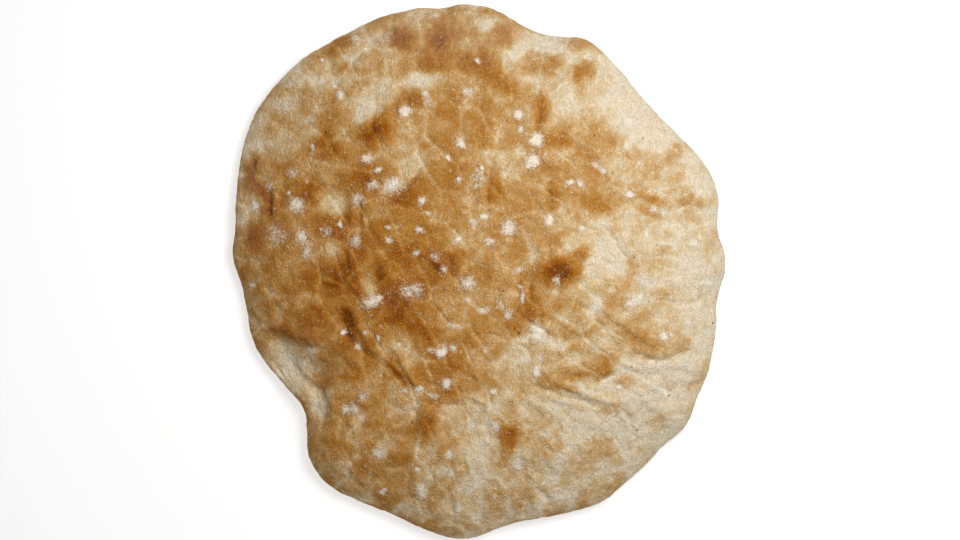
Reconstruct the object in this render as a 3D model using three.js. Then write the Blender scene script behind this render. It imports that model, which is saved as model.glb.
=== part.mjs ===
// Pita bread: one round flat loaf, baked in one piece and lying on its lower crust.
//
// Millimetres, +Z up. The origin is the middle of the loaf's plan, on the plane it rests on.
// +Y runs along the longer way across and +X along the shorter.
//
// The loaf puffed up in the oven and sank back, so its crown is low, its rim is a thin roll
// where the two crusts meet, and pleats run inwards from the notches of its outline.

import * as THREE from "three";

// ---- Driving dimensions ----

const CROWN_RISE = 11.5; // how far the middle stands above the rim's upper edge
const CROWN_HALF_X = 92; // the loaf's half width and half length, where the crown ends
const CROWN_HALF_Y = 100;
const CROWN_FULLNESS = 3.2; // the higher, the flatter the middle and the steeper the sides
const CROWN_START = 26; // the crown reaches its full share this far in from the outline

const RIM_HEIGHT = 3.6; // height of the outermost line above the resting plane
const UPPER_ROLL = { inset: 10, rise: 6 }; // the upper crust's rounded edge
const LOWER_ROLL_INSET = 11; // the lower crust turns up to the rim over this distance
const LIFTED_ROLL_GROWTH = 3; // and over this much more for each millimetre of lift

// Where the rim stands higher than RIM_HEIGHT: the middle, half width and rise of each lift.
const RIM_LIFTS = [
  { at: [-61, 81], half: 24, rise: 2.4 },
  { at: [34, 87], half: 18, rise: 2 },
  { at: [88, 17], half: 16, rise: 1.4 },
  { at: [80, -48], half: 20, rise: 2.2 },
  { at: [18, -92], half: 18, rise: 1.6 },
  { at: [-64, -54], half: 16, rise: 2.8 },
  { at: [-91, 20], half: 18, rise: 1.6 },
];

// The outline, anticlockwise from the right-hand side. Each lobe and notch has its own points.
const OUTLINE = [
  [91.9, 2], [90, 10], [88.4, 17], [89.1, 26], [87.6, 33], [84, 40], [80, 45],
  [75, 50.4], [70, 55.2], [66, 60], [60, 65.3], [55, 71.5], [50, 77.4], [44.5, 83.6],
  [40.2, 86.6], [36, 87.5], [31, 87.2], [25, 87.8], [20, 89.8], [15, 91.9], [10, 95.3],
  [5, 98.3], [-1, 99.9], [-5, 100], [-9, 98.8], [-13, 98], [-18, 98], [-23, 98.4],
  [-27, 97], [-30.5, 95.9], [-36, 95.6], [-42, 92.2], [-50, 88.1], [-56, 84.7],
  [-61, 81.4], [-66, 79], [-71, 74.7], [-77, 67.6], [-81.5, 61.5], [-84, 56],
  [-87, 50], [-88.8, 41], [-90.2, 30], [-90.4, 22], [-90.3, 17], [-91.5, 11.5],
  [-92, 7], [-90.6, 2], [-88, -4.5], [-86.8, -12], [-85.8, -20], [-82.5, -28],
  [-77, -37], [-70, -44.2], [-65.7, -49], [-64, -53.5], [-64.3, -60], [-62.8, -68],
  [-60, -75], [-54, -80.8], [-46, -84.6], [-40, -87.3], [-33, -89.3], [-22, -95.2],
  [-15, -97.4], [-8, -99.7], [-4, -99.6], [0, -98], [5, -95.6], [10, -94.2],
  [16, -92.3], [23, -91.8], [31, -89.8], [42, -87], [48, -84.4], [53, -79.8],
  [57, -75.8], [61, -72.8], [66, -66.8], [70, -63.4], [75.5, -58.5], [79, -53],
  [80.6, -47.5], [83.5, -41], [85.6, -35], [87.3, -26], [88.4, -16], [88.1, -9.5],
  [90, -4.5],
];

// Pleats and ridges: a route across the upper crust, its half width and its rise. A pleat's
// rise is negative.
const FOLDS = [
  { route: [[26, 92], [17, 85], [19, 77], [22, 66]], half: 4, rise: -3.2 },
  { route: [[-63, 84], [-58, 77], [-51, 70]], half: 5, rise: -2.2 },
  { route: [[-92, 36], [-86, 28], [-84, 14]], half: 3.6, rise: -2.4 },
  { route: [[-68, -52], [-61, -47], [-58, -39], [-53, -33]], half: 4, rise: -4.2 },
  { route: [[-52, -13], [-46, -25], [-38, -34], [-28, -46]], half: 3.4, rise: -1.1 },
  { route: [[-43, -13], [-37, -25], [-28, -36], [-22, -47]], half: 3.6, rise: 0.9 },
  { route: [[15, -95], [21, -87], [27, -78]], half: 4.5, rise: -2.2 },
  { route: [[72, -66], [70, -60], [62, -53]], half: 3.8, rise: -2.6 },
  { route: [[59, -46], [67, -50], [76, -57]], half: 3.6, rise: 1.4 },
  { route: [[92, -10], [82, -9], [72, -12]], half: 4.5, rise: -2.2 },
  { route: [[92, 17], [80, 20], [66, 27]], half: 4.5, rise: -1.6 },
  { route: [[-31, 98], [-33, 90], [-36, 84]], half: 4.5, rise: -1.6 },
  { route: [[-13, 100], [-10, 93], [-8, 87]], half: 4, rise: -1.6 },
  { route: [[24, -42], [36, -44], [52, -48]], half: 3.6, rise: 1.1 },
  { route: [[14, 12], [16, -2], [17, -14]], half: 4, rise: -1.6 },
  { route: [[82, -46], [74, -44], [64, -38]], half: 5, rise: -1.8 },
];

// Swells and hollows: the middle of each, its half width and its rise.
const SWELLS = [
  { at: [-8, 18], half: 26, rise: 1 },
  { at: [45, -5], half: 34, rise: 1.8 },
  { at: [30, 2], half: 8, rise: 1.4 },
  { at: [39, 76], half: 8, rise: 1.6 },
  { at: [9, 76], half: 10, rise: 1.6 },
  { at: [-39, 52], half: 8, rise: 1.4 },
  { at: [-26, 86], half: 9, rise: 1.2 },
  { at: [66, -25], half: 10, rise: 1.4 },
  { at: [-54, -70], half: 14, rise: 1.8 },
  { at: [11, -63], half: 8, rise: 1.2 },
  { at: [80, 26], half: 9, rise: 1.2 },
  { at: [-82, -8], half: 12, rise: 1.6 },
  { at: [-71, -36], half: 10, rise: -6 },
  { at: [-70, -17], half: 9, rise: 1.2 },
  { at: [55, 62], half: 13, rise: -1.8 },
  { at: [49, 4], half: 8, rise: -1.6 },
  { at: [2, -60], half: 10, rise: -1.4 },
  { at: [-54, 25], half: 8, rise: -1.2 },
];

// The mesh: a square block of cells in the middle, with rings from it out to the rim.
const BLOCK_CELLS = 28;
const BLOCK_HALF = 42;
const BLOCK_BULGE = 0.24; // how far the block's sides bow out, as a share of BLOCK_HALF
// Where the rings lie, as shares of the way from the rim to the block.
const RING_SHARES = [
  0.01, 0.035, 0.07, 0.115, 0.17, 0.235, 0.31, 0.39, 0.475, 0.565, 0.66, 0.76, 0.87,
];

// ---- The outline ----

const outlineCurve = new THREE.CatmullRomCurve3(
  OUTLINE.map(([x, y]) => new THREE.Vector3(x, y, 0)),
  true,
  "centripetal",
);
const outlinePoints = outlineCurve
  .getPoints(OUTLINE.length * 6)
  .map((p) => new THREE.Vector2(p.x, p.y));
const outlineSides = outlinePoints
  .slice(1)
  .map((end, i) => ({ start: outlinePoints[i], end }));

const cross = (a, b) => a.x * b.y - a.y * b.x;

// The point where a ray from the origin leaves the loaf.
function rimPointTowards(direction) {
  for (const { start, end } of outlineSides) {
    const along = end.clone().sub(start);
    const facing = cross(direction, along);
    const share = cross(start, direction) / facing;
    const reach = cross(start, along) / facing;
    if (share >= 0 && share <= 1 && reach > 0) {
      return direction.clone().multiplyScalar(reach);
    }
  }
  throw new Error("the outline is not closed around the origin");
}

// The distance from a point to a side, and the share of the side at which it is nearest.
function nearestOnSide(point, start, end) {
  const along = end.clone().sub(start);
  const share = point.clone().sub(start).dot(along) / along.lengthSq();
  const held = THREE.MathUtils.clamp(share, 0, 1);
  const distance = along.multiplyScalar(held).add(start).distanceTo(point);
  return { distance, share: held };
}

// How far a point inside the loaf is from its outline.
function insetOf(point) {
  const distances = outlineSides.map(
    ({ start, end }) => nearestOnSide(point, start, end).distance,
  );
  return Math.min(...distances);
}

// ---- The two crusts ----

const sum = (values) => values.reduce((total, value) => total + value, 0);
const bell = (distance, half) => Math.exp(-((distance / half) ** 2));

// The rise of a round swell, hollow or lift, which dies away around its middle.
function roundRise(point, { at: [x, y], half, rise }) {
  return rise * bell(Math.hypot(point.x - x, point.y - y), half);
}

const rimHeight = (point) =>
  RIM_HEIGHT + sum(RIM_LIFTS.map((lift) => roundRise(point, lift)));

// A quarter ellipse, from 0 at the rim to the roll's full rise at its inset.
function rollRise(inset, roll) {
  const share = 1 - Math.min(inset / roll.inset, 1);
  return roll.rise * Math.sqrt(1 - share * share);
}

// A fold is deepest where it meets the rim, at its route's start, and dies away at the end.
function foldRise(point, fold) {
  const stops = fold.route.map(([x, y]) => new THREE.Vector2(x, y));
  const sides = stops.length - 1;
  let best = { distance: Infinity, share: 0 };
  for (let i = 0; i < sides; i++) {
    const near = nearestOnSide(point, stops[i], stops[i + 1]);
    if (near.distance < best.distance) {
      best = { distance: near.distance, share: (i + near.share) / sides };
    }
  }
  const fade = 1 - 0.6 * best.share ** 2;
  return fold.rise * fade * bell(best.distance, fold.half);
}

function upperHeight(point) {
  const inset = insetOf(point);
  const reach = Math.hypot(point.x / CROWN_HALF_X, point.y / CROWN_HALF_Y);
  const open = Math.min(inset / CROWN_START, 1);
  const full = Math.max(1 - reach ** CROWN_FULLNESS, 0) * open * (2 - open);
  const relief =
    sum(FOLDS.map((fold) => foldRise(point, fold))) +
    sum(SWELLS.map((swell) => roundRise(point, swell)));
  const grown = THREE.MathUtils.smoothstep(inset, 0, UPPER_ROLL.inset);
  const edge = rimHeight(point) + rollRise(inset, UPPER_ROLL);
  return edge + CROWN_RISE * full + relief * grown;
}

// The lower crust is flat where it rests, and turns up to the rim.
function lowerHeight(point) {
  const rise = rimHeight(point);
  const inset = LOWER_ROLL_INSET + LIFTED_ROLL_GROWTH * (rise - RIM_HEIGHT);
  return rise - rollRise(insetOf(point), { inset, rise });
}

// ---- The mesh ----

// The block's grid points, row by row, with its sides bowed out towards a circle.
function blockPoints() {
  const points = [];
  for (let row = 0; row <= BLOCK_CELLS; row++) {
    for (let column = 0; column <= BLOCK_CELLS; column++) {
      const u = (2 * column) / BLOCK_CELLS - 1;
      const v = (2 * row) / BLOCK_CELLS - 1;
      const x = BLOCK_HALF * u * (1 + BLOCK_BULGE * (1 - v * v));
      const y = BLOCK_HALF * v * (1 + BLOCK_BULGE * (1 - u * u));
      points.push(new THREE.Vector2(x, y));
    }
  }
  return points;
}

// The numbers of the block's outer grid points, anticlockwise.
function blockEdge() {
  const last = BLOCK_CELLS;
  const at = (row, column) => row * (last + 1) + column;
  const steps = [...Array(last).keys()];
  return [
    ...steps.map((i) => at(0, i)),
    ...steps.map((i) => at(i, last)),
    ...steps.map((i) => at(last, last - i)),
    ...steps.map((i) => at(last - i, 0)),
  ];
}

// One crust: its plan points and its triangles, anticlockwise from above. The rim's points come
// last, so that the two crusts can share them.
function crustPlan() {
  const points = blockPoints();
  const quads = [];
  const at = (row, column) => row * (BLOCK_CELLS + 1) + column;
  for (let row = 0; row < BLOCK_CELLS; row++) {
    for (let column = 0; column < BLOCK_CELLS; column++) {
      quads.push([
        at(row, column),
        at(row, column + 1),
        at(row + 1, column + 1),
        at(row + 1, column),
      ]);
    }
  }
  const edge = blockEdge();
  const edgePoints = edge.map((number) => points[number]);
  const rimPoints = edgePoints.map((p) => rimPointTowards(p.clone().normalize()));
  let inner = edge;
  for (const share of [...RING_SHARES.toReversed(), 0]) {
    const outer = edge.map((_, i) => points.length + i);
    points.push(...rimPoints.map((p, i) => p.clone().lerp(edgePoints[i], share)));
    for (let i = 0; i < edge.length; i++) {
      const next = (i + 1) % edge.length;
      quads.push([inner[i], outer[i], outer[next], inner[next]]);
    }
    inner = outer;
  }
  const triangles = quads.flatMap(([a, b, c, d]) => [[a, b, c], [a, c, d]]);
  return { points, triangles, rimCount: edge.length };
}

function loafGeometry() {
  const { points, triangles, rimCount } = crustPlan();
  const ownCount = points.length - rimCount; // the lower crust has all points but the rim's
  const upper = points.map((p) => [p.x, p.y, upperHeight(p)]);
  const lower = points.slice(0, ownCount).map((p) => [p.x, p.y, lowerHeight(p)]);
  const lowerNumber = (number) =>
    number < ownCount ? points.length + number : number;
  const underside = triangles.map(([a, b, c]) => [a, c, b].map(lowerNumber));
  return new THREE.BufferGeometry()
    .setAttribute(
      "position",
      new THREE.Float32BufferAttribute([...upper, ...lower].flat(), 3),
    )
    .setIndex([...triangles, ...underside].flat());
}

// ---- The object ----

const crust = new THREE.MeshStandardMaterial({
  name: "baked_crust",
  color: new THREE.Color(0.73, 0.59, 0.42),
  roughness: 0.8,
  metalness: 0,
});

function pitaBread() {
  const geometry = loafGeometry();
  geometry.computeVertexNormals();
  const mesh = new THREE.Mesh(geometry, crust);
  mesh.name = "pita_bread";
  return mesh;
}

const loaf = new THREE.Group();
loaf.add(pitaBread());

export default loaf;
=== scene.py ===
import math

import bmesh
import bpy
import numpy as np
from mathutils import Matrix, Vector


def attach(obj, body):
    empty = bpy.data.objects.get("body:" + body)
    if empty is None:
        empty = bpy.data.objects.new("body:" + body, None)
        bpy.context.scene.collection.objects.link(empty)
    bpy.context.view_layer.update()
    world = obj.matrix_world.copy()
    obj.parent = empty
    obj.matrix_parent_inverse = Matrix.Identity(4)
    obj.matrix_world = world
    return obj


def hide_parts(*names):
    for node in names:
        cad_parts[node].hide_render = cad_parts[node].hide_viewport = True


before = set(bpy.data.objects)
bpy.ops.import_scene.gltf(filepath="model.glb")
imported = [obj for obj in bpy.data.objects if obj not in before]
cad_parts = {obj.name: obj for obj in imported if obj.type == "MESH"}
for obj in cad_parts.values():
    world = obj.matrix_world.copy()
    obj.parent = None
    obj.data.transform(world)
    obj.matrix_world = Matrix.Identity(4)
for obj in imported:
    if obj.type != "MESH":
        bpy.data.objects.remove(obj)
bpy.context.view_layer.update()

# Pita bread: one flat loaf, baked in one piece. Its fine surface grows out of the CAD solid:
# the solid's faces are subdivided, folds, wrinkles and the seams between bubbles are pressed
# into them, and the toast, flour and char that the material shows are painted on the points.
#
# Lists of marks are in millimetres from the middle of the loaf's plan, x to its right and
# y to its top, as seen from the camera. Blender's own lengths are in metres.

MM = 0.001
SUBDIVISIONS = 3
# The camera stands straight above this point of the plan and this far from the table.
VIEW_CENTRE = (0.37 * MM, 0.75 * MM)
VIEW_HEIGHT = 0.994

# ---- Relief ----

# How far each kind of relief rises or sinks, in millimetres, where the first two multiply
# the rises in the lists.
CREASE_RISE = 1.3
SWELL_RISE = 1.3
WRINKLE_RISE = 1.1
SMALL_WRINKLE_RISE = 0.6
WRINKLE_MEAN = 0.2
SEAM_DEPTH = 0.32
WAVE_RISE = 0.8
PEBBLE_RISE = 0.22
# Toast above this level stands up as a dome, and crust below it sinks a little.
DOME_RISE = 0.6
DOME_TOAST = 0.5

# Creases and ridges: half width, rise at the crest, and the route. A crease's rise is negative.
CREASES = [
    # top: pleats of the rim and the folds that run down from them
    (1.1, -1.0, [(15, 83), (18, 79), (20, 75), (22, 71)]),
    (1.0, -0.8, [(22, 68), (23, 63), (22, 57), (21, 52)]),
    (1.6, 0.4, [(18, 60), (18, 45)]),
    (1.1, -0.6, [(-14, 87), (-17, 82)]),
    (1.3, 0.4, [(-22, 88), (-21, 82)]),
    (1.2, 0.4, [(-6, 93), (-5, 84)]),
    (1.0, -0.5, [(-6, 81), (4, 80)]),
    (1.1, -0.8, [(-38.5, 69), (-39, 60), (-40, 55), (-39, 49)]),
    (1.0, -0.6, [(-31, 64), (-32, 51)]),
    (1.4, 0.4, [(-34.5, 66), (-34, 55)]),
    (1.3, 0.4, [(-27, 57), (-26, 48)]),
    (1.2, -0.6, [(-30, 28), (-27, 32), (-21, 40)]),
    (1.2, -0.6, [(36, 88), (38, 82), (43, 78)]),
    # left side
    (1.1, -0.8, [(-79, 35), (-78, 27), (-79, 20)]),
    (1.3, 0.5, [(-76, 30), (-75.5, 25), (-76, 20)]),
    (1.2, 0.4, [(-47.5, 26), (-47, 17)]),
    (1.0, -0.7, [(-44, 31), (-44.5, 20), (-44, 11)]),
    (1.0, -0.6, [(-50, 9), (-49, 1)]),
    (0.9, 0.5, [(-51, 0), (-47, -5), (-43, -11)]),
    # the dimple at the lower left and the lobe below it
    (1.8, -0.6, [(-81, -22), (-74, -26), (-68, -28), (-57, -29)]),
    (1.8, 0.6, [(-79, -18), (-69, -23), (-58, -24)]),
    (1.6, 0.7, [(-68, -31), (-65, -37), (-60, -42)]),
    (1.4, -0.9, [(-67, -44), (-59, -44), (-57, -49), (-59, -58)]),
    (1.2, -0.5, [(-43, -52), (-44, -59)]),
    (1.3, 0.4, [(-47, -50), (-47.5, -58)]),
    # the long folds below the left middle
    (1.5, -0.8, [(-51, -17), (-50, -22), (-46, -28), (-41, -32)]),
    (1.5, 0.7, [(-48, -14), (-45, -20), (-40, -28), (-36, -32)]),
    (1.3, -0.6, [(-37, -33), (-32, -38), (-28, -42)]),
    (1.4, 0.9, [(-32, -27), (-28, -34), (-25, -40), (-22, -43)]),
    (1.4, -0.55, [(-27, -30), (-23, -37), (-18, -42), (-13, -44)]),
    (1.0, -0.6, [(-24, -49), (-24, -60)]),
    # the middle
    (1.1, -0.8, [(8, 51), (5, 42), (3.5, 36), (3, 29), (3, 20)]),
    (1.2, 0.4, [(0.5, 40), (0, 32), (0.5, 24)]),
    (1.0, -0.6, [(7, 13), (9, 6), (10, 1)]),
    (1.0, -0.5, [(26, 13), (26, 5)]),
    (0.9, 0.4, [(-23, 12), (-21, 6.7), (-14, 2), (-9, -5)]),
    (1.1, 0.8, [(16.5, -1), (16.5, -8), (15, -15)]),
    (1.1, -0.6, [(19, 0), (18.6, -11)]),
    (0.8, -0.8, [(15, -14.5), (17.5, -18.5), (24, -21.5), (28, -25)]),
    (1.3, -0.5, [(-2, -29), (-6.5, -36)]),
    (1.3, 0.5, [(-3, -37), (1, -41), (6, -42)]),
    (1.2, 0.6, [(-11, -48), (-3, -46), (2, -49), (4, -54)]),
    # right side
    (1.0, -0.7, [(21, 44), (25, 39), (31, 37), (39, 33)]),
    (1.0, -0.8, [(25.5, 34), (26.5, 26), (28, 16)]),
    (1.5, 0.5, [(33, 30), (34, 22)]),
    (1.1, -0.9, [(30, 51), (39, 45), (44, 40), (48, 31), (55, 25)]),
    (1.1, -0.9, [(46, 18), (50, 12), (53, 7), (59, 0)]),
    (1.3, 0.5, [(53, 16), (57, 6)]),
    (0.9, -0.5, [(74, 22), (79, 18)]),
    (0.9, -0.5, [(66, 11), (66, 4)]),
    (1.0, -0.6, [(69, -12), (79, -12), (87, -8)]),
    (1.5, 0.8, [(42, -10), (48, -15), (55, -20), (65, -27)]),
    (1.1, -0.7, [(43, -17), (48, -24), (52, -29)]),
    (1.5, -0.8, [(56, -30), (64, -33), (71, -33), (79, -29)]),
    (1.2, 0.5, [(52, -33), (61, -37)]),
    (1.2, -0.7, [(40, -42), (47, -40), (53, -37)]),
    # the strong arc at the lower right and what hangs below it
    (1.3, 0.9, [(24, -36), (27, -39.5), (33, -43), (42, -46.5), (51, -48.7)]),
    (1.2, -0.6, [(20, -42), (27, -45), (36, -47.5), (45, -51)]),
    (1.8, 0.6, [(61, -48.5), (67, -51), (73, -57)]),
    (1.1, -0.8, [(69, -57), (67.5, -66)]),
    (0.9, 0.5, [(51, -50), (55, -57), (58, -69)]),
    (0.9, -0.5, [(53.3, -50), (57, -57), (60, -68)]),
    (1.2, -0.8, [(78, -42.5), (86, -41)]),
    # pleats of the bottom rim
    (1.0, -0.5, [(-15, -67), (-17.5, -77)]),
    (1.0, -0.5, [(-4, -60), (-6, -69), (-5, -78)]),
    (0.9, 0.4, [(-9, -83), (-7, -91)]),
    (1.2, -0.8, [(18, -83), (16.5, -92)]),
    (1.2, -0.8, [(23, -81), (28, -89)]),
    (0.9, 0.5, [(20, -82), (21.5, -89)]),
]

# Swells and hollows: x, y, half width, half height, turn in degrees, rise.
SWELLS = [
    (-60, -49, 3.5, 5, 0, -0.8), (-52, 26, 5, 4, 0, -0.6), (-76, -41, 3, 4, 50, 0.5),
    (-42, 61, 4, 5, -20, -0.4), (-25, 39, 6, 5, 30, -0.5), (43, 12, 4, 4, 0, -0.5),
    (3, 6, 3.5, 3, 0, 0.5), (33, -25, 6, 3.5, -10, -0.7), (37, -36, 6, 2.6, 0, 0.6),
    (66, -43, 3, 2, -20, 0.4), (25, -75, 4.5, 3.5, 0, -0.5), (18, -73, 3.5, 3, 0, -0.4),
    (29, 0, 8, 6, 15, 0.5), (-29, 87, 6, 4, 15, 0.4), (39, 75, 5, 4.5, 30, 0.5),
    (-38, 52, 5, 5, 0, 0.5), (-43, 36, 5, 4, 0, 0.4), (12, -62, 4, 7, 0, 0.4),
    (-53, -3, 6, 4, 30, 0.4), (47, -35, 4.5, 3.5, 30, 0.4), (-20, -57, 4.5, 7, 0, 0.4),
    (58, 5, 5, 4, 0, -0.4), (26, 85, 5, 3, 0, -0.4), (35, -31, 5, 2.5, 0, -0.5),
    (-78, -40, 8, 6, -50, -1.6), (-63, -25, 7, 4, -20, 0.8),
]

# ---- Toast ----

# The least and the most toast that the crust takes, on the scale of the lists below.
LEAST_TOAST, MOST_TOAST = 0.04, 1.3
# How strongly the listed toast, its mottling and the pale seams show on the upper crust.
TOAST_GAIN, MOTTLE_GAIN, SEAM_PALENESS = 1.06, 0.4, 0.24

# How much the crust is toasted, place by place: x, y, reach, toast from 0 (cream) to 1 (brown).
ZONES = [
    # upper left
    (-87, 30, 9, 0.36), (-84, 8, 9, 0.68), (-87, -10, 9, 0.62), (-84, 52, 8, 0.28),
    (-72, 60, 9, 0.44), (-64, 76, 9, 0.3), (-42, 84, 9, 0.36), (-74, 44, 8, 0.44),
    (-68, 30, 9, 0.84), (-55, 63, 7, 0.58), (-48, 73, 7, 0.36), (-70, 15, 8, 0.7),
    (-53, 36, 8, 0.6), (-52, 14, 7, 0.9), (-36, 76, 7, 0.28), (-40, 44, 7, 0.6),
    # top
    (-25, 80, 8, 0.76), (-22, 95, 6, 0.38), (-6, 89, 7, 0.56), (-12, 72, 8, 0.46),
    (10, 66, 8, 0.43), (18, 74, 6, 0.33), (-18, 60, 8, 0.82), (-24, 50, 7, 0.5),
    (42, 82, 7, 0.25), (36, 66, 8, 0.22), (2, 60, 8, 0.6),
    # middle
    (-38, 16, 9, 0.74), (-24, 14, 9, 0.84), (-14, 36, 10, 0.74), (-10, 20, 9, 0.58),
    (-10, 50, 9, 0.56), (-35, -8, 9, 0.98), (-14, -6, 10, 0.84), (12, 50, 8, 0.5),
    (16, 34, 8, 0.52), (14, 18, 8, 0.64), (24, 14, 8, 0.4), (6, 2, 9, 0.64),
    (-15, -22, 9, 0.76), (-2, -18, 9, 0.54), (12, -8, 8, 0.64), (24, 44, 8, 0.56),
    # upper right
    (60, 65, 13, 0.02), (38, 53, 8, 0.54), (36, 40, 8, 0.6), (60, 46, 7, 0.04),
    (62, 36, 8, 0.46), (80, 38, 8, 0.12), (36, 24, 8, 0.64), (54, 30, 7, 0.36),
    (72, 27, 8, 0.36), (73, 14, 8, 0.18), (55, 15, 8, 0.3), (40, 12, 7, 0.22),
    (88, 14, 7, 0.12), (66, 4, 7, 0.24), (82, -3, 8, 0.02), (40, 0, 6, 0.3),
    # lower right
    (54, -6, 7, 0.34), (50, -16, 7, 0.24), (34, -16, 9, 0.46), (32, -32, 8, 0.5),
    (62, -20, 7, 0.38), (76, -16, 7, 0.26), (86, -20, 7, 0.02), (70, -40, 10, 0.06),
    (16, -30, 8, 0.42), (36, -50, 8, 0.11), (56, -50, 8, 0.08), (22, -56, 9, 0.33),
    (36, -70, 10, 0.23), (60, -66, 8, 0.08), (18, -80, 9, 0.25), (42, -82, 8, 0.29),
    (2, -86, 9, 0.29), (10, -48, 9, 0.32),
    # lower left
    (-10, -40, 8, 0.76), (-5, -56, 8, 0.35), (-30, -34, 8, 0.54), (-45, -28, 8, 0.72),
    (-58, -14, 9, 0.82), (-74, -12, 9, 0.66), (-82, -24, 7, 0.5), (-56, -38, 8, 0.46),
    (-40, -44, 9, 0.7), (-28, -54, 8, 0.44), (-56, -62, 8, 0.6), (-42, -66, 9, 0.62),
    (-30, -76, 8, 0.6), (-16, -70, 8, 0.45), (-14, -84, 8, 0.47), (-50, -80, 8, 0.46),
]

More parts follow.
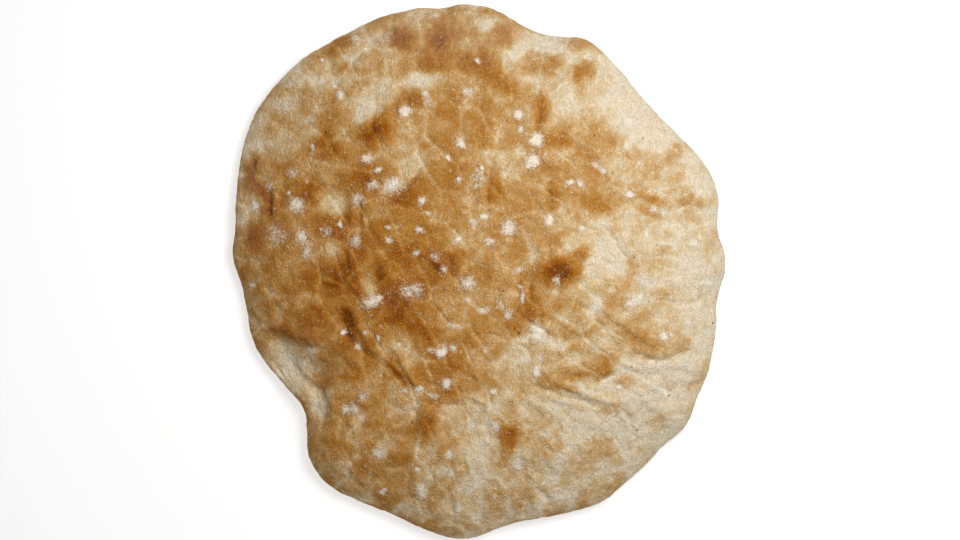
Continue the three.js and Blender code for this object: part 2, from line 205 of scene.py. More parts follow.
# Toasted domes and pale hollows: x, y, half width, half height, turn in degrees, toast.
PATCHES = [
    # pale hollows
    (-54, 25, 6, 4.5, 0, 0.24), (-42, 61, 4.5, 7.5, -15, 0.04), (-25, 39, 5, 7, -35, 0.26),
    (-22, 71, 6, 4, 0, 0.08), (-36, 68, 6, 3, 0, 0.3), (-74, 61, 6, 6, 0, 0.34),
    (14, 81.5, 3, 3, 0, 0.02), (26, 85.5, 8, 3, 0, -0.25), (3, 92, 4, 3.4, 0, 0),
    (34, 63, 6, 4.5, 0, 0.1), (47, 76, 5, 6, 40, 0.08), (-8, 12, 6, 4, 0, 0.4),
    (-25, -6, 6.5, 5, 0, 0.88), (-41, -4, 3, 6, 10, 0.46), (-56, 8, 7, 4, 0, 0.48),
    (1.5, 20, 2, 12, 0, 0.5), (0, 10, 4, 4, 0, 0.42), (0, -10, 6, 5.5, 0, 0.46),
    (6, 43, 5, 3, 0, 0.3), (84, 33, 5, 6, 0, 0.02),
    (50, 6, 6, 10, 40, -0.06), (61, -10, 5, 3.4, 0, 0.2), (44, -12, 3.5, 4, 0, 0.1),
    (28, -27, 6, 3, -10, 0.14), (43, -26, 5, 4, 0, 0.24), (15, -35, 6, 8, 0, 0.2),
    (36, -32, 6, 2.4, 0, 0.2), (50, -41, 5, 2.6, 0, -0.12), (42, -45, 6, 2.4, -12, 0.24),
    (-30, -27.5, 4, 1.6, -15, 0.36), (-7, -55, 8, 4, -10, 0.3), (1, -66, 6, 9, 0, 0.16),
    (-71, -35, 9, 8, -60, 0.1), (-60, -49, 4, 6.5, 0, 0.16), (-37, -66, 3, 5, -35, 0.42),
    (-5, -79, 6, 5, 0, 0.16), (-28, -88, 4, 3, 0, 0.32), (-45, -55, 3, 5, 0, 0.38),
    (-20, -78, 3, 5, -20, 0.3),
    # toasted domes of the rim and the top
    (-84.5, 38, 2.8, 6, -6, 1.12), (-78.5, 25, 2.4, 6, 5, 1.04), (-83, 12, 4, 5.4, 0, 0.95),
    (-81, 31, 3.4, 3.4, -35, 1.12), (-90, 8, 2, 6, 0, 0.5), (-53, 84, 8, 3.4, 30, 0.9),
    (-29, 87, 6.5, 4.4, 15, 1.0),
    (-15, 86, 5, 8.5, -25, 0.98), (-17, 77, 4, 3.4, 0, 0.9), (-1, 78, 8, 4.4, -10, 0.98),
    (9, 71, 9, 4.4, -35, 0.88), (9, 88, 5, 5, 0, 0.88), (37, 85, 6.5, 2.6, 0, 0.58),
    (39, 75, 5.4, 4.2, 20, 0.72), (25, 77, 6, 4, 0, 0.6), (23, 60, 3.2, 7.5, -8, 0.82),
    (2, 62, 5, 3, 0, 0.82), (-49, 71, 3, 3, 0, 0.26), (-55, 64, 4, 3, 0, 0.62),
    # the upper left and the middle
    (-56.5, 46.5, 5.8, 5.2, 0, 1.0), (-38, 52, 5.6, 6, 0, 1.04), (-42.5, 35.5, 6.4, 5, 0, 1.04),
    (-65, 43, 4, 3, 0, 0.68), (-27, 28, 4, 6, -28, 0.98), (-21, 33, 3, 3, 0, 0.88),
    (-28, 6, 5.5, 5, 0, 0.96), (-48, 4, 2.6, 5, 0, 0.96), (-40, 12, 4, 5, 0, 0.86),
    (-53, -3, 6, 4.4, 25, 1.08), (-34, -13, 5, 4, 0, 0.96), (-12, 33, 6, 5, 0, 0.8),
    (6, 31, 3.4, 6.4, 0, 0.86), (28, 29, 3, 7, -8, 0.82), (44.5, 25, 6, 3.2, -20, 0.78),
    (26, 12, 4, 6, 0, 0.52), (30, 0.5, 8.4, 6, 15, 1.16), (37, 5.5, 5, 3, 50, 0.88),
    (20, -15.5, 5.6, 4.8, 0, 0.92), (9.5, -18.5, 5, 3.2, 0, 0.72), (36, 40, 6, 4, 0, 0.6),
    (49, 48, 5, 4, 0, 0.6), (57, 44, 6, 2.4, 0, 0.54), (41, 45, 4, 3, 0, 0.66),
    (74, 45, 4, 3, 40, 0.42), (64, 27.5, 7, 1.6, -18, 0.7), (64, 22.5, 6.5, 1.5, -24, 0.62),
    (64, 37, 4, 3, 0, 0.52), (80, 26, 4.5, 3.5, 0, 0.58), (66, 4, 4, 3.4, 0, 0.38),
    (57, 2, 2.6, 2.8, 0, 0.52), (86, 9, 3, 5, 0, 0.36),
    # the lower left
    (-62, -17, 7, 5, -15, 0.9), (-70, -22, 7, 2.6, -14, 0.98), (-48, -20, 3.4, 9, 22, 1.22),
    (-42, -29, 2.8, 5.5, 38, 0.84), (-56, -32, 5, 4.5, 0, 0.78), (-58, -40, 3.4, 3.4, 0, 0.72),
    (-45.5, -38, 5, 4, 60, 0.88), (-30, -38, 2.2, 8, 42, 0.92), (-22, -20.5, 6, 3.2, -30, 0.98),
    (-13, -36, 6.5, 4.4, 15, 0.84), (-19.5, -56, 4.2, 7, -10, 0.94), (-16, -48, 3, 3, 0, 0.88),
    (-38, -57, 4, 4, 0, 0.68), (-53, -64, 5, 4, 0, 0.68), (-32, -75, 5, 4.5, 0, 0.66),
    (-5, -25, 4, 4, 0, 0.78), (-1, -40, 6, 3.2, 0, 0.72), (-14, -80, 4, 3, 0, 0.54),
    (-57, -72, 5, 9, 40, 0.54), (-7, -96, 7, 2.4, 0, 0.5),
    # the lower right
    (12, -61, 4.2, 8.5, -10, 0.94), (13, -55, 5, 2.6, 0, 0.44), (47, -36, 5.5, 3, 38, 0.74),
    (37, -38.5, 7, 2.2, 5, 0.7), (30, -42.5, 7, 2.2, -20, 0.68), (31, -35, 2.2, 6, 10, 0.5),
    (63, -27, 8.5, 4, -18, 0.54), (57, -22.5, 5, 3, -35, 0.64), (75, -27.5, 4, 3.2, 0, 0.42),
    (51.5, -12, 5, 2.6, 0, 0.54), (37, -12.5, 3.4, 2.4, 0, 0.54), (37, -22, 5, 4, 0, 0.58),
    (54, -41, 4, 3, 0, 0.46), (84, -36, 2.4, 7, -12, 0.36), (66, -56, 5, 3.4, 0, 0.26),
    (48, -66, 5, 5, 0, 0.4), (24, -66, 4, 3.4, 0, 0.56), (49, -81, 6, 2.2, 35, 0.46),
    (50, -50, 4, 2.6, 0, 0.34), (12, -77, 4, 4, 0, 0.4),
]

# ---- Flour ----

# Dabs of flour: x, y, half width, half height, turn in degrees, strength.
FLOUR = [
    (-27, 60, 2.4, 1.8, 0, 1), (-42, 42, 2.2, 1.7, 20, 0.8), (-32, 32, 4.2, 3, 15, 0.8),
    (-68, 25, 3, 3, 0, 0.8), (-84, 25, 1.5, 1.8, 0, 0.8),
    (-66, 13, 2.2, 2.6, 0, 0.8), (-64, 7, 2, 3, 0, 0.6), (-75, 14, 4, 4, 0, 0.4),
    (-45, 27, 2.6, 2.2, 0, 0.6), (-46, 87, 2.2, 2, 0, 0.6), (-35, 87, 3.4, 3, 0, 0.35),
    (-73, 62, 4, 3.4, 0, 0.5), (-71, 70, 2.4, 2, 0, 0.5), (-36, 68, 3, 2.4, 0, 0.4),
    (-4, 67, 2, 1.8, 0, 0.6), (-7, 48, 2.2, 1.6, -30, 0.8), (-69, 37, 2, 1.6, 0, 0.5),
    (-78, 32, 1.8, 1.6, 0, 0.5), (-17, 96, 2.6, 1.5, 0, 0.5), (-8, 12, 1.8, 1.5, 0, 0.7),
    (-62, 57, 2.2, 2, 0, 0.4), (0, 35, 2.6, 3.2, 0, 0.5), (15, 59, 2.2, 2, 0, 0.9),
    (15.5, 53, 1, 1.4, 0, 0.8), (21.5, 49, 2.8, 2.6, 0, 1), (20, 41, 2.8, 3, 0, 1),
    (34, 33.5, 1.8, 1.2, 0, 0.9), (38, 33, 1.5, 1.6, 0, 0.7), (26, 19.5, 1.5, 2.4, 0, 1),
    (11, 16.5, 3, 3, 30, 0.75), (38.5, 16.5, 1.6, 1.2, 0, 0.7), (46, 18, 1.8, 2, 0, 0.5),
    (44, 40, 1.8, 1.6, 0, 0.6), (24, 85, 1.4, 1, 0, 0.8), (51, 68, 3.4, 2.6, 40, 0.5),
    (57, 55, 4, 2.4, 0, 0.5), (57, 29, 2, 1.5, 0, 0.6), (4, 11, 2, 2, 0, 0.7),
    (80, 11, 2.4, 2, 0, 0.8), (82, 3, 1.4, 1.2, 0, 0.7), (69, 22, 2.2, 1.8, 0, 0.5),
    (-50, -22, 1.2, 1.1, 0, 1), (-40, -11, 4, 2.2, 20, 0.75), (-37, -9.5, 1, 1, 0, 0.9),
    (-25, -7, 4, 2.6, 15, 0.6), (-4, -4, 2.8, 3, -40, 0.75), (-14, -30, 1.9, 1.7, 0, 1),
    (-18, -29, 1.6, 1.2, 0, 0.6), (-12, -42, 2.2, 1.8, 20, 1), (-22, -44, 1.6, 1.2, 0, 0.9),
    (-27.5, -44.5, 1.2, 1, 0, 0.7), (-37.5, -25, 0.9, 1.2, 0, 0.9), (-42, -22.5, 1.2, 1, 0, 0.6),
    (-47, -51, 2.6, 2.4, 30, 0.6), (-43, -46, 2, 2, 30, 0.6), (-37, -68, 2.4, 2, 0, 0.7),
    (-11, -68, 2, 1.7, 0, 0.8), (-21.5, -81.5, 1.6, 3, 0, 0.8), (-8, -88, 1.4, 3.6, 0, 0.7),
    (-13, -74, 1.8, 1.6, 0, 0.5), (-4, -81, 1.8, 1.8, 0, 0.4), (-9, -20, 2.2, 1, 0, 0.6),
    (-17, -46, 2.8, 1.4, -15, 0.5), (22, -22.5, 2.8, 3.6, 15, 1), (15.9, -9.5, 0.7, 2.3, -12, 1),
    (22, -37, 1.5, 2.5, 0, 0.95), (22.5, -32, 1.6, 1.5, 0, 0.6), (43.5, -13, 1.5, 1.8, 0, 0.8),
    (58, -11, 3.2, 2.4, 0, 0.7), (62, -4, 3.4, 3, 0, 0.4), (69, -24, 1.8, 1.5, 0, 0.9),
    (72, -23.5, 0.8, 0.8, 0, 0.9), (78.5, -18.5, 1.3, 2, 0, 0.8), (86, -4, 2, 1.6, 0, 0.8),
    (67, -43.5, 2.6, 1.2, -25, 0.8), (52, -43, 1, 0.9, 0, 0.9), (6, -58, 1.5, 2.4, 15, 0.8),
    (15, -72, 2.2, 2.2, 0, 0.7), (41, -62, 0.6, 1.6, 15, 0.8), (82, -14, 1.2, 1.2, 0, 0.6),
    (75, -40, 1.4, 1, 0, 0.7), (77, -34, 1.2, 1.4, 0, 0.5), (8, -12, 1.6, 1.6, 0, 0.5),
    (27, -84, 1.6, 1.6, 0, 0.4), (21, -87, 1.4, 1.4, 0, 0.4), (15, 0.5, 2.2, 1.4, 0, 0.6),
    (-19, 22, 2, 0.8, 0, 0.6), (-16.5, 6, 2, 1.8, 0, 0.5), (-57, 15, 2.6, 2, 0, 0.4),
    (-46, 12, 2.4, 2.4, 30, 0.55), (50, 2, 5, 3, 0, 0.3), (2, -29, 1.6, 1.6, 0, 0.4),
    (46, -26, 3, 2, 0, 0.3), (38, -43, 1.8, 1.4, 0, 0.5), (54, -56, 3, 4, 0, 0.3),
]

# Small dabs are strewn between the listed ones: how many, their middle and their spread.
SMALL_DABS = 44
DABS_MIDDLE = (-8, 4)
DABS_SPREAD = (36, 44)

# Thin veils of flour over whole regions, in the same columns.
VEILS = [
    (0, 90, 60, 12, 0, 0.08), (-88, 35, 9, 30, 0, 0.07), (80, -20, 16, 40, 0, 0.06),
    (60, 62, 20, 16, 0, 0.08), (-70, -36, 12, 12, 0, 0.1),
]

# Charred pinpricks: x, y and radius.
CHAR = [
    (43, 51, 0.35), (50, 37, 0.3), (49, 29.5, 0.3), (66.5, 10, 0.35), (19.3, 40.6, 0.3),
    (-25, -56, 0.5), (-13, -6.5, 0.35), (-65, -32, 0.3), (57, -35.5, 0.3), (71, -46, 0.3),
    (59, -59, 0.3), (51, -54, 0.3), (87, -19, 0.3), (-7.5, 46.5, 0.35), (14.6, -14.4, 0.35),
    (14.9, -22.8, 0.5), (13.4, -21, 0.35), (9, -7, 0.25), (-36.5, -8, 0.3), (58, 5.5, 0.3),
    (8, -8.5, 0.25), (-9.4, -6.8, 0.25), (61, 50, 0.3), (-57, 52, 0.3), (38, 60, 0.25),
]


# ---- Noise on points ----

class Noise:
    """Smooth gradient noise of points in space, with a lattice of its own."""

    PERIOD = 64

    def __init__(self, seed):
        random = np.random.default_rng(seed)
        shape = (self.PERIOD,) * 3
        height = random.uniform(-1, 1, shape)
        turn = random.uniform(0, 2 * math.pi, shape)
        reach = np.sqrt(1 - height * height)
        self.lattice = np.stack([reach * np.cos(turn), reach * np.sin(turn), height], -1)

    def at(self, places, size):
        """Values around 0, from about -0.6 to 0.6, for features about size across."""
        scaled = places / size + 31.7
        cell = np.floor(scaled).astype(int)
        inside = scaled - cell
        ease = inside ** 3 * (inside * (inside * 6 - 15) + 10)
        total = np.zeros(len(places))
        for corner in np.ndindex(2, 2, 2):
            corner = np.array(corner)
            spot = (cell + corner) % self.PERIOD
            slope = self.lattice[spot[:, 0], spot[:, 1], spot[:, 2]]
            share = np.prod(np.where(corner == 1, ease, 1 - ease), axis=1)
            total += share * np.einsum("ij,ij->i", slope, inside - corner)
        return total

    def layered(self, places, size, layers):
        """Noise with finer layers on top, each half as large and half as strong."""
        return sum(self.at(places, size / 2 ** k) / 2 ** k for k in range(layers))


# Three independent noises for broad, middling and fine features.
broad, middle, fine = Noise(11), Noise(12), Noise(13)
# How far noise shifts the marks and the routes of creases.
MARK_WANDER, TRACE_WANDER = 1.4, 0.8


def smooth_step(values, low, high):
    share = np.clip((values - low) / (high - low), 0, 1)
    return share * share * (3 - 2 * share)


def turned(plan, degrees):
    """Coordinates along and aside a direction of the plan."""
    angle = math.radians(degrees)
    x, y = plan.T
    along = x * math.cos(angle) + y * math.sin(angle)
    return along, y * math.cos(angle) - x * math.sin(angle)


def crinkles(noise, places, size, degrees):
    """Rounded lumps, drawn out along a direction, with creases where the value is low."""
    along, aside = turned(places[:, :2], degrees)
    drawn = np.stack([along * 0.65, aside, places[:, 2]], -1)
    return np.hypot(noise.layered(drawn, size, 2), 0.04)


def bubbles(spots, size, seed):
    """A net of bubbles: how far each spot is from its bubble's seam, and the bubble's value."""
    period = 64
    random = np.random.default_rng(seed)
    hearts = random.uniform(0.1, 0.9, (period, period, 2))
    values = random.uniform(-1, 1, (period, period))
    scaled = spots / size + period / 2
    cell = np.floor(scaled).astype(int)
    nearest = np.full(len(spots), np.inf)
    second = nearest.copy()
    value = np.zeros(len(spots))
    for step in np.ndindex(3, 3):
        neighbour = cell + step - (1, 1)
        column, row = neighbour.T % period
        distance = np.linalg.norm(neighbour + hearts[column, row] - scaled, axis=1)
        nearer = distance < nearest
        second = np.where(nearer, nearest, np.minimum(second, distance))
        value = np.where(nearer, values[column, row], value)
        nearest = np.where(nearer, distance, nearest)
    return (second - nearest) * size, value


# ---- Marks on the plan ----

def ovals(plan, marks, sharpness):
    """Each oval mark's plan points, how fully it covers them, and its value."""
    for x, y, half_width, half_height, degrees, value in marks:
        reach = 2.2 * max(half_width, half_height)
        near = np.flatnonzero(np.abs(plan - (x, y)).max(axis=1) < reach)
        along, aside = turned(plan[near] - (x, y), degrees)
        squared = (along / half_width) ** 2 + (aside / half_height) ** 2
        yield near, np.exp(-(squared ** (sharpness / 2))), value


def painted(plan, marks, sharpness=2):
    """The sum of oval marks. A higher sharpness gives a flatter middle and a harder edge."""
    total = np.zeros(len(plan))
    for near, share, strength in ovals(plan, marks, sharpness):
        total[near] += strength * share
    return total


def patched(values, plan, marks, sharpness):
    """The values with oval patches laid over them, each one drawn towards its own value."""
    result = values.copy()
    for near, share, target in ovals(plan, marks, sharpness):
        result[near] += share * (target - result[near])
    return result


def blended(plan, zones):
    """The mean of the zones' values, each weighted by how near it is and how small it is."""
    total = np.zeros(len(plan))
    weight = np.zeros(len(plan))
    for x, y, reach, value in zones:
        share = np.exp(-((plan - (x, y)) ** 2).sum(axis=1) / reach ** 2) / reach ** 2 + 1e-9
        total += share * value
        weight += share
    return total / weight


def distance_to_route(plan, route):
    """How far plan points are from a route, and the share of the route where they are nearest."""
    best = np.full(len(plan), np.inf)
    share = np.zeros(len(plan))
    sides = len(route) - 1
    for i in range(sides):
        start = np.array(route[i], float)
        along = np.array(route[i + 1], float) - start
        held = np.clip((plan - start) @ along / (along @ along), 0, 1)
        distance = np.linalg.norm(plan - start - held[:, None] * along, axis=1)
        nearer = distance < best
        best = np.where(nearer, distance, best)
        share = np.where(nearer, (i + held) / sides, share)
    return best, share


def creased(plan):
    """The rise of all creases and ridges. The crust beside each one bulges the other way."""
    total = np.zeros(len(plan))
    for half, rise, route in CREASES:
        low = np.min(route, axis=0) - 6 * half
        high = np.max(route, axis=0) + 6 * half
        near = np.flatnonzero(((plan > low) & (plan < high)).all(axis=1))
        distance, share = distance_to_route(plan[near], route)
        fade = np.sqrt(np.clip(np.minimum(share, 1 - share) * 4, 0.05, 1))
        groove = np.exp(-((distance / half) ** 2))
        bulge = np.exp(-((distance / (3 * half)) ** 2))
        total[near] += rise * fade * (groove - 0.35 * bulge)
    return total


# ---- The loaf's mesh ----

def subdivided_solid(name):
    """A new object with the CAD solid's surface, as a fine smooth mesh of quads."""
    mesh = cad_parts["pita_bread"].data.copy()
    mesh.name = name
    shape = bmesh.new()
    shape.from_mesh(mesh)
    bmesh.ops.remove_doubles(shape, verts=shape.verts, dist=1e-6)
    bmesh.ops.join_triangles(
        shape, faces=shape.faces, angle_face_threshold=math.pi, angle_shape_threshold=math.pi
    )
    shape.to_mesh(mesh)
    shape.free()
    mesh.materials.clear()
    loaf = bpy.data.objects.new(name, mesh)
    bpy.context.scene.collection.objects.link(loaf)
    finer = loaf.modifiers.new("finer", "SUBSURF")
    finer.levels = finer.render_levels = SUBDIVISIONS
    bpy.context.view_layer.objects.active = loaf
    bpy.ops.object.modifier_apply(modifier=finer.name)
    return loaf


def points_and_normals(mesh):
    count = len(mesh.vertices)
    places = np.empty(count * 3, np.float32)
    normals = np.empty(count * 3, np.float32)
    mesh.vertices.foreach_get("co", places)
    mesh.vertex_normals.foreach_get("vector", normals)
    return places.reshape(-1, 3).astype(float), normals.reshape(-1, 3).astype(float)


def write_attribute(mesh, name, values):
    made = mesh.attributes.new(name, "FLOAT", "POINT")
    made.data.foreach_set("value", values.astype(np.float32))


# A seam's half width, and how far in from it a bubble takes its own tone.
SEAM_HALF, BUBBLE_EDGE = 1.2, 2.5
# The radius at which bubbles of the rim are measured along its turn.
RIM_RADIUS = 70


def bubble_net(plan):
    """Seams between the crust's bubbles, and how each bubble differs in toast from the next.

    The bubbles are drawn out down to the right on the left half, more level on the right
    half, and outwards near the rim.
    """
    radius = np.linalg.norm(plan, axis=1)
    around = np.arctan2(plan[:, 0], plan[:, 1]) * RIM_RADIUS
    outer = smooth_step(radius, 55, 75)
    rightness = smooth_step(plan[:, 0], -5, 35)
    seams = np.zeros(len(plan))
    tones = np.zeros(len(plan))
    for seed, share, (along, aside), size in (
        (21, (1 - outer) * (1 - rightness), turned(plan, -62), 9),
        (22, (1 - outer) * rightness, turned(plan, -32), 7.5),
        (23, outer, (radius, around), 7.5),
    ):
        gap, tone = bubbles(np.stack([along * 0.5, aside], -1), size, seed)
        seams += share * np.exp(-((gap / SEAM_HALF) ** 2))
        tones += share * tone * (1 - np.exp(-((gap / BUBBLE_EDGE) ** 2)))
    return seams, tones


def strewn_dabs():
    """Small dabs of flour at random places, in the same columns as the listed ones."""
    random = np.random.default_rng(31)
    dabs = []
    for _ in range(SMALL_DABS):
        x, y = random.normal(DABS_MIDDLE, DABS_SPREAD)
        size = random.uniform(0.8, 1.7)
        dabs.append((x, y, size, size * random.uniform(0.8, 1.1), 0, random.uniform(0.6, 0.9)))
    return dabs


def wrinkled(places_mm, rightness):
    """The rise of wrinkles of two sizes.

    They run down to the right on the left half, and more level on the right half.
    """
    wrinkles = crinkles(broad, places_mm, 9, -52) * (1 - rightness)
    wrinkles += crinkles(middle, places_mm, 9, -22) * rightness
    small_wrinkles = crinkles(fine, places_mm, 4, -40)
    rise = WRINKLE_RISE * (wrinkles - WRINKLE_MEAN)
    return rise + SMALL_WRINKLE_RISE * (small_wrinkles - WRINKLE_MEAN)


def bake_loaf():
    """Presses the relief into the mesh and paints toast, flour and char on its points."""
    loaf = subdivided_solid("pita_loaf")
    mesh = loaf.data
    places, normals = points_and_normals(mesh)
    places_mm = places / MM

    # Marks are listed as the camera sees them, where higher places show further out. They
    # follow a slightly wandering plan, so that none is a clean oval.
    plan = places_mm[:, :2] / (1 - places[:, 2:] / VIEW_HEIGHT)
    wander = np.stack([middle.layered(places_mm + k * 40, 5, 3) for k in (0, 1)], -1)
    marked = plan + MARK_WANDER * wander
    traced = plan + TRACE_WANDER * wander

    # The upper crust, and the part of it that lies within the steep rim.
    upper = smooth_step(normals[:, 2], -0.35, 0.25)
    inner = smooth_step(normals[:, 2], 0.5, 0.9)

    seams, tones = bubble_net(traced)
    seams *= smooth_step(middle.layered(places_mm + 20, 16, 2), -0.45, 0.25)
    mottle = 0.28 * broad.layered(places_mm, 8, 3) + 0.07 * tones
    top_toast = patched(blended(marked, ZONES) + mottle, marked, PATCHES, sharpness=3)
    top_toast = TOAST_GAIN * top_toast + MOTTLE_GAIN * mottle - SEAM_PALENESS * seams
    under_toast = 0.45 + 0.7 * middle.layered(places_mm, 24, 3) + MOTTLE_GAIN * mottle
    toast = under_toast + upper * (top_toast - under_toast)

    rightness = smooth_step(plan[:, 0], -15, 35)
    relief = (CREASE_RISE * creased(traced) + SWELL_RISE * painted(marked, SWELLS)) * inner
    relief += wrinkled(places_mm, rightness) * (0.4 + 0.6 * inner)
    relief -= SEAM_DEPTH * seams * (0.3 + 0.7 * inner)
    relief += WAVE_RISE * broad.layered(places_mm + 90, 15, 2)
    relief += PEBBLE_RISE * fine.layered(places_mm, 2.2, 2)
    relief += DOME_RISE * np.clip(top_toast - DOME_TOAST, -0.3, 0.5) * inner

    # Flour spreads thinly around its listed dabs, and gathers more in some regions.
    flour = painted(marked, FLOUR + strewn_dabs(), sharpness=2.2)
    halos = [(x, y, 2 * w, 2 * h, turn, amount) for x, y, w, h, turn, amount in FLOUR]
    halo = painted(marked, halos)
    dust = halo + smooth_step(broad.layered(places_mm + 50, 12, 2), 0.1, 0.5)
    veil = painted(plan, VEILS) + 0.02 * halo
    char = painted(plan, [(x, y, radius, radius, 0, 1) for x, y, radius in CHAR], sharpness=4)

    places += normals * (relief * MM)[:, None]
    places[:, 2] = np.maximum(places[:, 2], 0)
    mesh.vertices.foreach_set("co", places.astype(np.float32).ravel())
    mesh.update()
    mesh.shade_smooth()

    write_attribute(mesh, "toast", np.clip(toast, LEAST_TOAST, MOST_TOAST))
    write_attribute(mesh, "flour", np.clip(flour, 0, 1) * upper)
    write_attribute(mesh, "char", np.clip(char, 0, 1) * upper)
    write_attribute(mesh, "dust", np.clip(dust, 0, 1))
    write_attribute(mesh, "veil", veil)
    return loaf


# ---- Material ----

class Nodes:
    """A material's node tree, with short ways to add and join nodes."""

    def __init__(self, name):
        self.material = bpy.data.materials.new(name)
        self.material.use_nodes = True
        self.tree = self.material.node_tree
        self.tree.nodes.clear()

    def add(self, kind, inputs=None, **settings):
        node = self.tree.nodes.new(kind)
        for key, value in settings.items():
            setattr(node, key, value)
        for key, value in (inputs or {}).items():
            if isinstance(value, bpy.types.NodeSocket):
                self.tree.links.new(value, node.inputs[key])
            else:
                node.inputs[key].default_value = value
        return node

    def attribute(self, name):
        return self.add("ShaderNodeAttribute", attribute_name=name).outputs["Fac"]

    def noise(self, where, scale, detail=2, roughness=0.5, distortion=0):
        inputs = {"Vector": where, "Scale": scale, "Detail": detail}
        inputs |= {"Roughness": roughness, "Distortion": distortion}
        return self.add("ShaderNodeTexNoise", inputs).outputs["Fac"]

    def cells(self, where, scale):
        """Scattered cells: the distance to each cell's heart, and a random value per cell."""
        node = self.add("ShaderNodeTexVoronoi", {"Vector": where, "Scale": scale})
        return node.outputs["Distance"], node.outputs["Color"]

    def cracks(self, where, scale):
        """How far a place is from the nearest border between cells."""
        inputs = {"Vector": where, "Scale": scale}
        node = self.add("ShaderNodeTexVoronoi", inputs, feature="DISTANCE_TO_EDGE")
        return node.outputs["Distance"]

    def wobble(self, where, scale, reach):
        """A small shift in a random direction, as a vector."""
        source = self.add("ShaderNodeTexNoise", {"Vector": where, "Scale": scale, "Detail": 1})
        centred = self.add(
            "ShaderNodeVectorMath",
            {0: source.outputs["Color"], 1: (0.5, 0.5, 0.5)},
            operation="SUBTRACT",
        )
        inputs = {0: centred.outputs[0], "Scale": reach}
        return self.add("ShaderNodeVectorMath", inputs, operation="SCALE").outputs[0]

    def math(self, operation, a, b=0.0, clamp=False):
        node = self.add("ShaderNodeMath", {0: a, 1: b}, operation=operation, use_clamp=clamp)
        return node.outputs[0]

    def spread(self, value, low, high, new_low=0.0, new_high=1.0):
        inputs = {"Value": value, "From Min": low, "From Max": high}
        inputs |= {"To Min": new_low, "To Max": new_high}
        return self.add("ShaderNodeMapRange", inputs).outputs["Result"]

    def around(self, noise, centre, reach):
        """A noise's usual range, spread evenly around a centre."""
        return self.spread(noise, 0.3, 0.7, centre - reach, centre + reach)

    def mix(self, share, a, b):
        node = self.add("ShaderNodeMix", data_type="RGBA")
        for key, value in (("Factor_Float", share), ("A_Color", a), ("B_Color", b)):
            socket = next(s for s in node.inputs if s.identifier == key)
            if isinstance(value, bpy.types.NodeSocket):
                self.tree.links.new(value, socket)
            else:
                socket.default_value = value
        return next(s for s in node.outputs if s.identifier == "Result_Color")

    def ramp(self, value, stops):
        node = self.add("ShaderNodeValToRGB", {"Fac": value})
        points = node.color_ramp.elements
        while len(points) < len(stops):
            points.new(0.5)
        for point, (place, colour) in zip(points, stops):
            point.position = place
            point.color = (*colour, 1)
        return node.outputs["Color"]


# The crust's colour from unbaked cream to deep brown, by how much it is toasted.
CRUST_COLOURS = [
    (0.0, (0.83, 0.71, 0.52)),
    (0.22, (0.71, 0.51, 0.27)),
    (0.44, (0.58, 0.32, 0.106)),
    (0.66, (0.475, 0.208, 0.032)),
    (0.88, (0.35, 0.11, 0.005)),
    (1.0, (0.21, 0.055, 0.002)),
]
# The toast at which the last colour is reached.
DEEPEST_TOAST = 1.13
FLOUR_COLOUR = (0.97, 0.87, 0.71, 1)
CHAR_COLOUR = (0.05, 0.02, 0.008, 1)

# How many features of each kind a metre holds.
BLOTCHES = 330
CRACKLES = 480
FLECKS = 760
FIBRES = 1100
FLOUR_GRAINS = 1200
SPECKS = 1500
GRAINS = 1900
# The shader's bump: how high the finest grain and fibres stand.
BUMP_HEIGHT = 1.1 * MM


def crackled_with_highlight(n, where, bent):
    """A fine pale crackle, broken into short bits. Its pale lines are partly painted highlight,
    where the crests of fine crinkles catch the light.
    """
    crackle_and_highlight = n.spread(n.cracks(bent, CRACKLES), 0.02, 0.12, 1, 0)
    return n.math("MULTIPLY", crackle_and_highlight, n.spread(n.noise(where, 420, 2, 0.6), 0.48, 0.6))


def toast_level(n, where, fibres, crackle_and_highlight):
    """The toast painted on the points, made uneven by blotches, fibres and pale specks, and paler
    along the crackle, which is partly painted highlight.
    """
    base = n.attribute("toast")
    speckle = n.around(n.noise(where, BLOTCHES, 4, 0.65, 0.4), 0, 0.14)
    speckle = n.math("ADD", speckle, n.around(fibres, 0, 0.07))
    # Along the crackle the toast drops: pale lines that are partly painted highlight on crinkle
    # crests.
    speckle = n.math("SUBTRACT", speckle, n.math("MULTIPLY", crackle_and_highlight, 0.16))
    specks = n.math("ADD", n.noise(where, SPECKS, 1, 0.5, 0.5), n.noise(where, 120, 1))
    speckle = n.math("SUBTRACT", speckle, n.spread(specks, 1.1, 1.3, 0, 0.2))
    # Deep toast and pale crust are smoother in colour than what lies between them.
    evenness = n.math("MULTIPLY", n.spread(base, 0.6, 1.05, 1, 0.4), n.spread(base, 0, 0.4, 0.5, 1))
    return n.math("ADD", base, n.math("MULTIPLY", speckle, evenness))


def flour_cover(n, where, bent):
    """How fully flour hides the crust: dabs, scattered flecks and thin veils."""
    # Flour clings in grains: where a dab is thin, only the tallest grains show.
    flour_grain = n.noise(where, FLOUR_GRAINS, 3, 0.75, 0.6)
    dab = n.math("ADD", n.attribute("flour"), n.spread(flour_grain, 0.3, 0.7, -0.5, 0.3))
    dab = n.spread(dab, 0.05, 0.6)
    fleck_distance, fleck_value = n.cells(bent, FLECKS)
    fleck = n.spread(fleck_distance, 0.16, 0.34, 1, 0)
    rarity = n.math("SUBTRACT", 0.93, n.math("MULTIPLY", n.attribute("dust"), 0.4))
    fleck = n.math("MULTIPLY", fleck, n.math("GREATER_THAN", fleck_value, rarity))
    cover = n.math("MAXIMUM", n.math("MULTIPLY", dab, 0.92), n.math("MULTIPLY", fleck, 0.48))
    return n.math("MAXIMUM", cover, n.attribute("veil"))


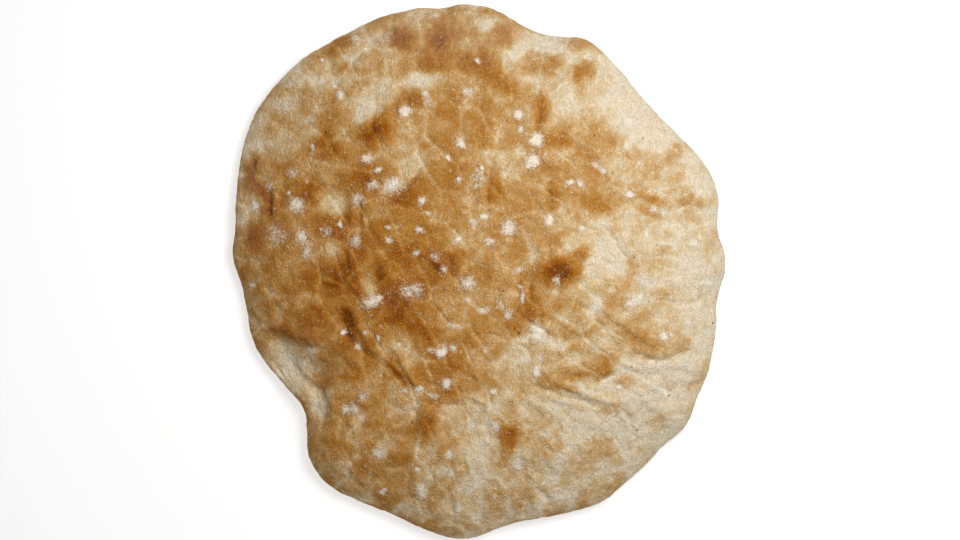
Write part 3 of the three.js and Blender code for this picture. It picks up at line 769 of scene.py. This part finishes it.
def crust_material():
    n = Nodes("baked_crust")
    where = n.add("ShaderNodeTexCoord").outputs["Object"]
    stretched = n.add(
        "ShaderNodeMapping",
        {"Vector": where, "Rotation": (0, 0, math.radians(35)), "Scale": (1, 0.45, 1)},
    ).outputs["Vector"]
    bent = n.add("ShaderNodeVectorMath", {0: where, 1: n.wobble(where, 600, 0.0022)}).outputs[0]

    fibres = n.noise(stretched, FIBRES, 3, 0.65, 0.8)
    grain = n.noise(where, GRAINS, 2, 0.6)
    crackle_and_highlight = crackled_with_highlight(n, where, bent)
    toast = toast_level(n, where, fibres, crackle_and_highlight)
    colour = n.ramp(n.math("DIVIDE", toast, DEEPEST_TOAST, clamp=True), CRUST_COLOURS)
    # Fine fibres and grains are lighter and darker without a change of hue.
    shade = n.math("ADD", n.around(fibres, 0.5, 0.13), n.around(grain, 0.5, 0.16))
    # The crackle also brightens the colour: painted highlight along the crests of fine crinkles.
    shade = n.math("ADD", shade, n.math("MULTIPLY", crackle_and_highlight, 0.1))
    shaded = n.add("ShaderNodeVectorMath", {0: colour, "Scale": shade}, operation="SCALE")

    flour = flour_cover(n, where, bent)
    colour = n.mix(flour, shaded.outputs[0], FLOUR_COLOUR)
    colour = n.mix(n.attribute("char"), colour, CHAR_COLOUR)

    relief = n.math("ADD", n.math("MULTIPLY", fibres, 0.6), n.math("MULTIPLY", grain, 0.5))
    relief = n.math("ADD", relief, n.math("MULTIPLY", crackle_and_highlight, 0.05))
    relief = n.math("ADD", relief, n.math("MULTIPLY", flour, 0.2))
    bump = n.add("ShaderNodeBump", {"Height": relief, "Distance": BUMP_HEIGHT, "Strength": 1.0})
    shader = n.add(
        "ShaderNodeBsdfPrincipled",
        {
            "Base Color": colour,
            "Roughness": n.spread(toast, 0.1, 0.8, 0.9, 0.72),
            "Normal": bump.outputs["Normal"],
            "Specular IOR Level": 0.05,
        },
    )
    n.add("ShaderNodeOutputMaterial", {"Surface": shader.outputs["BSDF"]})
    return n.material


# ---- The set ----

LENS = 100
SENSOR = 36
TABLE_HALF = 3
# The table glows a little by itself, so that it stays white all over.
TABLE_WHITE = 0.5
TABLE_GLOW = 0.66
# The lamp: where it stands, in degrees and metres, its size and its power in watts.
KEY_AZIMUTH, KEY_ELEVATION, KEY_DISTANCE = 41, 67, 0.38
KEY_SIZE, KEY_POWER = 0.18, 1.3
FILL_STRENGTH = 0.19


def table_top():
    bpy.ops.mesh.primitive_plane_add(size=2 * TABLE_HALF)
    floor = bpy.context.object
    floor.name = "table_top"
    n = Nodes("pale_table")
    shader = n.add(
        "ShaderNodeBsdfPrincipled",
        {
            "Base Color": (TABLE_WHITE, TABLE_WHITE, TABLE_WHITE, 1),
            "Roughness": 1,
            "Specular IOR Level": 0,
            "Emission Color": (1, 1, 1, 1),
            "Emission Strength": TABLE_GLOW,
        },
    )
    n.add("ShaderNodeOutputMaterial", {"Surface": shader.outputs["BSDF"]})
    floor.data.materials.append(n.material)


def camera():
    lens = bpy.data.cameras.new("camera")
    lens.lens = LENS
    lens.sensor_width = SENSOR
    holder = bpy.data.objects.new("camera", lens)
    holder.location = (*VIEW_CENTRE, VIEW_HEIGHT)
    bpy.context.scene.collection.objects.link(holder)
    bpy.context.scene.camera = holder


def softbox(name, azimuth, elevation, distance, size, power):
    """A square lamp that faces the loaf."""
    turn, height = math.radians(azimuth), math.radians(elevation)
    towards = Vector(
        (math.cos(turn) * math.cos(height), math.sin(turn) * math.cos(height), math.sin(height))
    )
    lamp = bpy.data.lights.new(name, "AREA")
    lamp.size = size
    lamp.energy = power
    holder = bpy.data.objects.new(name, lamp)
    holder.location = towards * distance
    holder.rotation_mode = "QUATERNION"
    holder.rotation_quaternion = towards.to_track_quat("Z", "Y")
    bpy.context.scene.collection.objects.link(holder)


def sky():
    world = bpy.data.worlds.new("sky")
    world.use_nodes = True
    world.node_tree.nodes["Background"].inputs["Color"].default_value = (1, 1, 1, 1)
    world.node_tree.nodes["Background"].inputs["Strength"].default_value = FILL_STRENGTH
    bpy.context.scene.world = world
    bpy.context.scene.view_settings.view_transform = "Standard"


camera()
table_top()
softbox("key", KEY_AZIMUTH, KEY_ELEVATION, KEY_DISTANCE, KEY_SIZE, KEY_POWER)
sky()

loaf = bake_loaf()
loaf.data.materials.append(crust_material())
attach(loaf, "root")
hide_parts("pita_bread")
